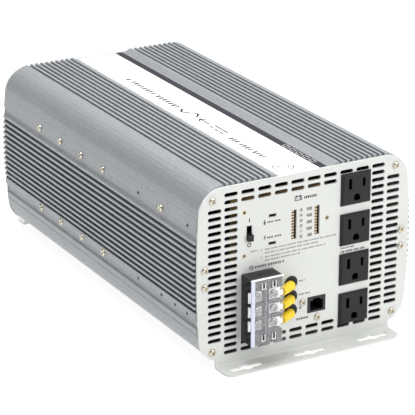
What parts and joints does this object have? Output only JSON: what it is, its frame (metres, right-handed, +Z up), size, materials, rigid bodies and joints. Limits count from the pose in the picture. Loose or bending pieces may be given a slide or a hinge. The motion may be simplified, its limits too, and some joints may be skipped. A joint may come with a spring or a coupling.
{
  "type": "power inverter",
  "caption": "Finned aluminium DC-to-AC power inverter with an output panel of receptacles, a terminal block, bar displays, rear fans and slotted mounting flanges.",
  "frame": {"origin": "centre of the outline on the mounting plane, under the flanges", "axes": "+Z up, the output panel faces -Y, the DC end faces +Y, +X to the right seen from the front"},
  "size_m": [0.2, 0.397, 0.1535],
  "materials": {
    "shell": "satin",
    "panel": "satin",
    "screws": "satin",
    "label": "satin",
    "stripe": "satin",
    "outlet": "satin",
    "brass": "satin",
    "black_plastic": "matte",
    "knob": "matte",
    "tan_board": "matte",
    "posts": "satin",
    "display": "gloss",
    "lamp": "gloss",
    "gloss_black": "gloss",
    "nickel": "gloss",
    "clear_cover": "gloss",
    "rubber": "matte",
    "wire": "satin",
    "yellow_sleeve": "satin",
    "rotor": "matte",
    "guard": "satin",
    "red_post": "satin",
    "stud": "satin",
    "copper": "satin",
    "green_board": "satin",
    "bar_metal": "matte",
    "ferrite": "matte",
    "winding": "satin",
    "can_blue": "gloss",
    "can_black": "gloss",
    "fuse": "gloss"
  },
  "bodies": {
    "case": {"top_shell": "shell", "bottom_shell": "shell", "front_panel": "panel", "rear_panel": "panel", "front_panel_screws": "screws", "rear_panel_screws": "screws", "side_screws": "screws", "top_label": "label", "label_stripe": "stripe", "outlet_1": "outlet", "outlet_2": "outlet", "outlet_3": "outlet", "outlet_4": "outlet", "outlet_contacts": "brass", "switch_body": "black_plastic", "indicator_board": "tan_board", "board_standoffs": "posts", "load_bar": "display", "battery_bar": "display", "status_lamps": "lamp", "remote_jack": "black_plastic", "remote_jack_screws": "screws", "terminal_base": "gloss_black", "terminal_clamps": "nickel", "terminal_screws": "nickel", "wire_grommets": "rubber", "ac_wires": "wire", "lug_sleeves": "yellow_sleeve", "lug_tongues": "nickel", "fan_frame_left": "black_plastic", "fan_frame_right": "black_plastic", "fan_guard_left": "guard", "fan_guard_right": "guard", "fan_screws": "screws", "dc_post_positive": "red_post", "dc_post_negative": "black_plastic", "dc_studs": "stud", "dc_nuts": "nickel", "ground_stud": "nickel", "dc_bus_bars": "copper", "main_board": "green_board", "main_board_standoffs": "posts", "upper_board": "tan_board", "upper_board_standoffs": "posts", "power_transistors": "black_plastic", "clamp_bars": "bar_metal", "transformer_cores": "ferrite", "transformer_windings": "winding", "input_capacitors": "can_blue", "output_capacitors": "can_black", "dc_fuses": "fuse", "output_choke": "copper", "control_board": "green_board"},
    "knob": {"switch_knob": "knob"},
    "cover": {"terminal_cover": "clear_cover"},
    "rotor_left": {"fan_rotor_left": "rotor"},
    "rotor_right": {"fan_rotor_right": "rotor"}
  },
  "joints": [
    {"name": "switch_slide", "type": "slide", "parent": "case", "child": "knob", "axis": [0, 0, 1], "range_m": [0, 0.0066]},
    {"name": "cover_pull", "type": "slide", "parent": "case", "child": "cover", "axis": [0, -1, 0], "range_m": [0, 0.03]},
    {"name": "fan_left_spin", "type": "hinge", "parent": "case", "child": "rotor_left", "pos_m": [-0.044, 0.1635, 0.098], "axis": [0, 1, 0], "continuous": true},
    {"name": "fan_right_spin", "type": "hinge", "parent": "case", "child": "rotor_right", "pos_m": [0.044, 0.1635, 0.098], "axis": [0, 1, 0], "continuous": true}
  ]
}
